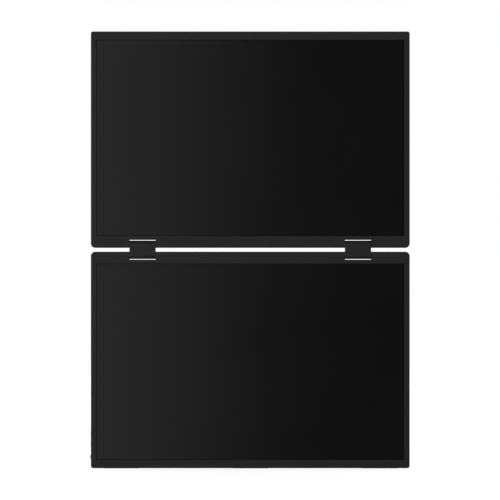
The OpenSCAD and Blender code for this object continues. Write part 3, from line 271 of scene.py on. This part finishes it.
def board_material(name, across, face, side):
    """Green solder mask over copper tracks, and black moulded parts on the board.

    across is the axis that runs through the board, face the place on it where the parts begin,
    and side tells whether their places are LESS_THAN or GREATER_THAN that.
    """
    material = surface(name, shades=(0.03, 0.045), roughness=(0.25, 0.35), tint=MASK_TINT,
                       patch=4 * MM)
    tree = material.node_tree
    shader = tree.nodes["Principled BSDF"]
    place = add_node(tree, "ShaderNodeSeparateXYZ", {"Vector": object_coords(tree)}).outputs
    along = "X" if across == "Y" else "Y"
    plane = add_node(tree, "ShaderNodeCombineXYZ", {
        "X": place["Z"], "Y": place[along]}).outputs["Vector"]
    part = calculate(tree, side, place[across], face)
    tracks = add_node(tree, "ShaderNodeTexBrick", {
        "Vector": plane, "Scale": 1 / TRACK_PITCH, "Row Height": 1.0, "Mortar Smooth": 0.3,
        "Brick Width": TRACK_LENGTH / TRACK_PITCH, "Mortar Size": TRACK_GAP / TRACK_PITCH / 2})
    bare = calculate(tree, "MAXIMUM", tracks.outputs["Fac"], part)
    coated = shader.inputs["Base Color"].links[0].from_socket
    laminate = two_tone(tree, noise(tree, plane, LAMINATE_PATCH),
                        grey(0.014, MASK_TINT), grey(0.02, MASK_TINT))
    moulded = two_tone(tree, noise(tree, plane, MOULDED_PATCH), grey(0.012), grey(0.018))
    green = mix_colours(tree, bare, coated, laminate)
    colour = mix_colours(tree, part, green, moulded)
    height = calculate(tree, "SUBTRACT", 1.0, bare)
    tree.links.new(colour, shader.inputs["Base Color"])
    tree.links.new(bump(tree, height, TRACK_RISE, strength=0.6), shader.inputs["Normal"])
    return material


def finish_boards():
    """Circuit boards, whose parts face the display, the back and the keys in turn."""
    main_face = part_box("scaler_board")[1].y - BOARD_T - PART_RISE
    drive_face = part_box("lower_panel_board")[0].y + BOARD_T + PART_RISE
    switch_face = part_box("key_board")[1].x - BOARD_T - PART_RISE
    put_on(board_material("main_board", "Y", main_face, "LESS_THAN"), "scaler_board")
    put_on(board_material("drive_board", "Y", drive_face, "GREATER_THAN"), *both("panel_board"))
    put_on(board_material("switch_board", "X", switch_face, "LESS_THAN"), "key_board")


def finish_soft():
    """Rubber, cable sleeve, ribbon and the black plastic of speakers and headphone socket."""
    put_on(surface("rubber", shades=(0.010, 0.016), roughness=(0.7, 0.85), patch=4 * MM,
                   grain=0.5 * MM, depth=0.05 * MM, bump_strength=0.6),
           "stand_pads", "foot_strips")
    put_on(surface("cable_sleeve", shades=(0.01, 0.014), roughness=(0.45, 0.6), patch=3 * MM),
           *both("hinge_cable"), "hinge_link_cable")
    put_on(surface("amber_ribbon", shades=(0.4, 0.5), roughness=(0.2, 0.35), tint=(1, 0.6, 0.2),
                   light_tint=(1, 0.62, 0.22), stretch=(1, 1, 0.05), grain=1 * MM),
           "display_ribbon")
    put_on(surface("speaker_box", shades=(0.012, 0.016), roughness=(0.5, 0.6), patch=6 * MM),
           "speakers", "audio_socket")


# ---------- Small pieces that the solids leave out ----------

def link_mesh(name, mesh_maker, material, body):
    """Makes a piece from a bmesh function, where it is at rest, and lets it ride on a body."""
    shape = bmesh.new()
    mesh_maker(shape)
    mesh = bpy.data.meshes.new(name)
    shape.to_mesh(mesh)
    shape.free()
    mesh.materials.append(material)
    piece = bpy.data.objects.new(name, mesh)
    bpy.context.scene.collection.objects.link(piece)
    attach(piece, body)


def add_box(shape, low, high):
    """Adds a block with the given corners to a bmesh."""
    middle = (Vector(low) + Vector(high)) / 2
    size = Vector(high) - Vector(low)
    matrix = Matrix.Translation(middle) @ Matrix.Diagonal((size.x, size.y, size.z, 1))
    bmesh.ops.create_cube(shape, size=1, matrix=matrix)


def round_edges(shape, radius, segments=1):
    """Rounds every edge of a bmesh."""
    bmesh.ops.bevel(shape, geom=list(shape.edges), offset=radius, segments=segments, affect="EDGES")


BORDER = 0.5 * MM              # black line left round the polariser inside the bezel
POLARISER_T = 0.06 * MM
POLARISER_EDGE = POLARISER_T / 3
OPENING_SIDE = 6.2 * MM        # widths of the bezel at the sides, the outer end and the hinges
OPENING_OUTER = 9.5 * MM
OPENING_HINGE = 13.4 * MM


def make_polariser(side):
    """The display's front film, a hair smaller than the opening in the bezel."""
    frame_low, frame_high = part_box(side + "_front_frame")
    glass_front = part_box(side + "_lcd_glass")[0].y
    below, above = OPENING_OUTER, OPENING_HINGE
    if side == "upper":
        below, above = above, below
    low = (frame_low.x + OPENING_SIDE + BORDER, glass_front - POLARISER_T,
           frame_low.z + below + BORDER)
    high = (frame_high.x - OPENING_SIDE - BORDER, glass_front, frame_high.z - above - BORDER)

    def make(shape):
        add_box(shape, low, high)
        round_edges(shape, POLARISER_EDGE, segments=2)

    film = surface(side + "_polariser", shades=(0.0028, 0.0032), roughness=(0.1, 0.12),
                   patch=100 * MM, grain=0.3 * MM, depth=0.0003 * MM, bump_strength=0.1)
    link_mesh(side + "_polariser", make, film, side + "_screen")


USB_W = 8.9 * MM
USB_CONTACTS = 12              # on each face of a tongue
USB_PITCH = 0.45 * MM
VIDEO_CONTACTS = 10
VIDEO_PITCH = 0.5 * MM
TONGUE_T = 0.7 * MM
TONGUE_SETBACK = 1.0 * MM      # of the tongue's tip behind the socket's mouth
CONTACT_SETBACK = 0.3 * MM     # of the pads' outer ends behind the tip
CONTACT_REACH = 3.6 * MM       # from the tip to the pads' inner ends
CONTACT_RISE = 0.03 * MM       # the pads stand this far out of the tongue and reach as far into it
CONTACT_EDGE = CONTACT_RISE / 3


def add_contacts(shape, tip_x, centre_y, centre_z, count, pitch):
    """Two rows of contact pads on a socket's tongue, each pad two thirds of the pitch wide."""
    for i in range(count):
        z = centre_z + (i - (count - 1) / 2) * pitch
        for face in (-1, 1):
            y = centre_y + face * TONGUE_T / 2
            add_box(shape, (tip_x - CONTACT_REACH, y - CONTACT_RISE, z - pitch / 3),
                    (tip_x - CONTACT_SETBACK, y + CONTACT_RISE, z + pitch / 3))


def make_socket_contacts(name, node, centres_z, count, pitch, plating):
    """Contact pads of all the sockets in one node, as one piece."""
    low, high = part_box(node)

    def make(shape):
        for centre_z in centres_z:
            add_contacts(shape, high.x - TONGUE_SETBACK, (low.y + high.y) / 2, centre_z, count, pitch)
        round_edges(shape, CONTACT_EDGE)

    link_mesh(name, make, plating, "lower_screen")


def make_contacts():
    """Gold-plated pads in the charging sockets and in the video socket."""
    plating = surface("contact_gold", shades=(0.75, 0.85), roughness=(0.15, 0.25),
                      tint=(1, 0.76, 0.33), light_tint=(1, 0.78, 0.36), metallic=1.0,
                      patch=1 * MM, grain=0.2 * MM, depth=0.003 * MM)
    usb_low, usb_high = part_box("usb_sockets")
    video_low, video_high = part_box("hdmi_socket")
    make_socket_contacts("usb_contacts", "usb_sockets",
                         (usb_low.z + USB_W / 2, usb_high.z - USB_W / 2),
                         USB_CONTACTS, USB_PITCH, plating)
    make_socket_contacts("video_contacts", "hdmi_socket", ((video_low.z + video_high.z) / 2,),
                         VIDEO_CONTACTS, VIDEO_PITCH, plating)


THREAD_PITCH = 0.7 * MM
THREAD_DEPTH = 0.28 * MM
THREAD_SHARE = 0.9             # of the pitch that the ridge takes up
THREAD_SINK = 0.02 * MM        # how far the ridge reaches into the wall
THREAD_STEPS = 20              # to a turn
INSERT_R = 3.0 * MM
INSERT_HOLE_R = 1.65 * MM
INSERT_FLOOR = 0.6 * MM


def add_thread(shape, x, z, y0, y1):
    """Closed helical ridge on the wall of a bore that runs along Y, fading out at both ends."""
    turns = (y1 - y0) / THREAD_PITCH - 1
    count = int(turns * THREAD_STEPS)
    foot_r = INSERT_HOLE_R + THREAD_SINK
    width = THREAD_SHARE * THREAD_PITCH
    rings = []
    for i in range(count + 1):
        angle = 2 * math.pi * i / THREAD_STEPS
        y = y0 + THREAD_PITCH * i / THREAD_STEPS
        fade = min(1, i / THREAD_STEPS, (count - i) / THREAD_STEPS)
        crest_r = INSERT_HOLE_R - THREAD_DEPTH * fade
        profile = ((foot_r, 0), (crest_r, width / 2), (foot_r, width))
        rings.append([shape.verts.new((x + r * math.cos(angle), y + up, z + r * math.sin(angle)))
                      for r, up in profile])
    for first, second in zip(rings, rings[1:]):
        for k in range(len(first)):
            after = (k + 1) % len(first)
            shape.faces.new((first[k], second[k], second[after], first[after]))
    shape.faces.new(reversed(rings[0]))
    shape.faces.new(rings[-1])


def make_threads():
    """Threads inside the four inserts, in a darker brass than the inserts' own: painted shade for the
    inside of the bores.
    """
    low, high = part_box("threaded_inserts")

    def make(shape):
        for x in (low.x + INSERT_R, high.x - INSERT_R):
            for z in (low.z + INSERT_R, high.z - INSERT_R):
                add_thread(shape, x, z, low.y + INSERT_FLOOR, high.y)
        bmesh.ops.recalc_face_normals(shape, faces=list(shape.faces))

    # darker copy of the inserts' brass, as painted shade inside the bores
    link_mesh("insert_threads", make, brass("thread_brass_painted_shade", shades=(0.5, 0.6)),
              "lower_screen")


SPEAKER_W = 40 * MM
SPEAKER_RIM = 2.5 * MM
CLOTH_T = 0.1 * MM
CLOTH_DEPTH = 0.2 * MM         # of the cloth behind a speaker's rim
CLOTH_EDGE = CLOTH_T / 3
WEAVE = 0.4 * MM
WEAVE_RISE = 0.15 * MM


def make_speaker_cloth():
    """Woven dust cloth over both speakers, seen through the grille slots."""
    low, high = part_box("speakers")
    cloth = surface("dust_cloth", shades=(0.012, 0.03), roughness=(0.8, 0.9), patch=0.6 * MM)
    tree = cloth.node_tree
    weave = add_node(tree, "ShaderNodeTexChecker", {
        "Vector": object_coords(tree), "Scale": 1 / WEAVE}).outputs["Fac"]
    tree.links.new(bump(tree, weave, WEAVE_RISE, strength=0.8),
                   tree.nodes["Principled BSDF"].inputs["Normal"])
    half = SPEAKER_W / 2 - SPEAKER_RIM
    cloth_y = high.y - CLOTH_DEPTH

    def make(shape):
        for x in (low.x + SPEAKER_W / 2, high.x - SPEAKER_W / 2):
            add_box(shape, (x - half, cloth_y - CLOTH_T, low.z + SPEAKER_RIM),
                    (x + half, cloth_y, high.z - SPEAKER_RIM))
        round_edges(shape, CLOTH_EDGE)

    link_mesh("speaker_cloth", make, cloth, "lower_screen")


EDGE_RADII = {
    "hinge_front_covers": 0.2 * MM, "hinge_rear_covers": 0.2 * MM,
    "up_key": 0.3 * MM, "down_key": 0.3 * MM, "power_key": 0.3 * MM,
    "stand_plate": 0.35 * MM, "stand_pads": 0.15 * MM,
}
EDGE_ANGLE = 40                # degrees: edges whose faces turn by more are rounded
WELD_DISTANCE = 0.001 * MM     # points closer than this are joined first


def soften_edges():
    """Small edge radii on the hinge covers, keys, foot plate and pads."""
    for name, radius in EDGE_RADII.items():
        weld = nodes[name].modifiers.new("weld", "WELD")
        weld.merge_threshold = WELD_DISTANCE
        bevel = nodes[name].modifiers.new("bevel", "BEVEL")
        bevel.width = radius
        bevel.segments = 2
        bevel.limit_method = "ANGLE"
        bevel.angle_limit = math.radians(EDGE_ANGLE)


# ---------- Floor ----------

FLOOR_HALF = 60
FLOOR_DROP = 0.02 * MM         # below the feet, so that no faces share a plane
FLOOR_DARK = 0.78
FLOOR_LIGHT = 0.8
FLOOR_PATCH = 0.5
FLOOR_SHADE = 0.4              # share of the light on it that the camera sees, for the shadow
FLOOR_GLOW = 0.8               # what the camera sees besides, so that the rest is white


def floor_material():
    """Pale and matt to the light, white with a shadow to the camera, clear to reflections."""
    material = bpy.data.materials.new("floor")
    material.use_nodes = True
    tree = material.node_tree
    tree.nodes.clear()
    path = add_node(tree, "ShaderNodeLightPath").outputs
    patches = noise(tree, object_coords(tree), FLOOR_PATCH)
    mottle = two_tone(tree, patches, grey(FLOOR_DARK), grey(FLOOR_LIGHT))
    matt = add_node(tree, "ShaderNodeBsdfDiffuse", {"Color": mottle}).outputs[0]
    shade = add_node(tree, "ShaderNodeBsdfDiffuse", {"Color": grey(FLOOR_SHADE)}).outputs[0]
    glow = add_node(tree, "ShaderNodeEmission", {
        "Color": grey(1), "Strength": FLOOR_GLOW}).outputs[0]
    shown = add_node(tree, "ShaderNodeAddShader", {0: shade, 1: glow}).outputs[0]
    clear = add_node(tree, "ShaderNodeBsdfTransparent").outputs[0]
    seen = add_node(tree, "ShaderNodeMixShader", {
        0: path["Is Camera Ray"], 1: matt, 2: shown}).outputs[0]
    mix = add_node(tree, "ShaderNodeMixShader", {
        0: path["Is Glossy Ray"], 1: seen, 2: clear}).outputs[0]
    add_node(tree, "ShaderNodeOutputMaterial", {"Surface": mix})
    return material


def make_floor():
    """Pale floor that reads as white to the camera and keeps the object's shadow."""
    mesh = bpy.data.meshes.new("floor")
    corners = [(x * FLOOR_HALF, y * FLOOR_HALF, 0) for x, y in ((-1, -1), (1, -1), (1, 1), (-1, 1))]
    mesh.from_pydata(corners, [], [(0, 1, 2, 3)])
    mesh.materials.append(floor_material())
    floor = bpy.data.objects.new("floor", mesh)
    floor.location.z = -FLOOR_DROP
    bpy.context.scene.collection.objects.link(floor)


# ---------- World: a pale room ----------
# A place on its walls is given by the X or Y part of the direction towards it.

ROOM_FRONT = 0.25              # strength of the room in front of the object and behind it
ROOM_BACK = 0.8
WALL_FRONT_Y = -0.8            # the room brightens from the first place to the second
WALL_BACK_Y = 0.3
CARD_GLOW = 0.5                # strength of the wall round the camera, which the screens mirror,
CARD_DIM = 0.045               # at the left and at the right
CARD_LEFT_X = -0.036           # it fades from the first place to the second
CARD_RIGHT_X = 0.004
CARD_INNER_Y = -0.985          # and gives way to the room between these two
CARD_OUTER_Y = -0.9


def band(tree, value, low, high, to_low, to_high):
    """A value that runs smoothly from to_low to to_high as its input goes from low to high."""
    return add_node(tree, "ShaderNodeMapRange", {
        "Value": value, "From Min": low, "From Max": high, "To Min": to_low, "To Max": to_high},
        interpolation_type="SMOOTHSTEP").outputs["Result"]


def make_world():
    """White to the camera; round the object a pale room, whose front wall fades from left to right."""
    world = bpy.data.worlds.new("world")
    bpy.context.scene.world = world
    world.use_nodes = True
    tree = world.node_tree
    tree.nodes.clear()
    path = add_node(tree, "ShaderNodeLightPath").outputs
    coords = add_node(tree, "ShaderNodeTexCoord").outputs
    toward = add_node(tree, "ShaderNodeSeparateXYZ", {"Vector": coords["Generated"]}).outputs
    walls = band(tree, toward["Y"], WALL_FRONT_Y, WALL_BACK_Y, ROOM_FRONT, ROOM_BACK)
    card = band(tree, toward["X"], CARD_LEFT_X, CARD_RIGHT_X, CARD_GLOW, CARD_DIM)
    past_card = band(tree, toward["Y"], CARD_INNER_Y, CARD_OUTER_Y, 0.0, 1.0)
    room = mix_values(tree, past_card, card, walls)
    strength = mix_values(tree, path["Is Camera Ray"], room, 1.0)
    shade = add_node(tree, "ShaderNodeBackground", {"Color": grey(1), "Strength": strength})
    add_node(tree, "ShaderNodeOutputWorld", {"Surface": shade.outputs[0]})


# ---------- Lights: high in front, low at both sides, high behind for the back ----------

LAMP_TARGET = (0, 0, 0.25)     # about the middle of the object
LAMPS = {                      # place, size and power in watts
    "front_high": ((0.0, -2.6, 1.6), (2.2, 1.0), 5),
    "left": ((-2.0, -2.2, 0.2), (1.6, 0.4), 56),
    "right": ((2.0, -2.2, 0.2), (1.6, 0.4), 12),
    "back_high": ((0.0, 2.4, 2.4), (2.2, 1.4), 35),
}


def make_lights():
    """Soft boxes that face the object and don't show themselves to the camera."""
    for name, (place, size, power) in LAMPS.items():
        light = bpy.data.lights.new(name, "AREA")
        light.shape = "RECTANGLE"
        light.size, light.size_y = size
        light.energy = power
        lamp = bpy.data.objects.new(name, light)
        lamp.location = place
        lamp.rotation_mode = "QUATERNION"
        lamp.rotation_quaternion = (Vector(LAMP_TARGET) - Vector(place)).to_track_quat("-Z", "Y")
        lamp.visible_camera = False
        bpy.context.scene.collection.objects.link(lamp)


make_camera()
finish_casings()
finish_display()
finish_metals()
finish_boards()
finish_soft()
for panel in ("lower", "upper"):
    make_polariser(panel)
make_contacts()
make_threads()
make_speaker_cloth()
soften_edges()
make_floor()
make_world()
make_lights()
bpy.context.scene.view_settings.view_transform = "Standard"
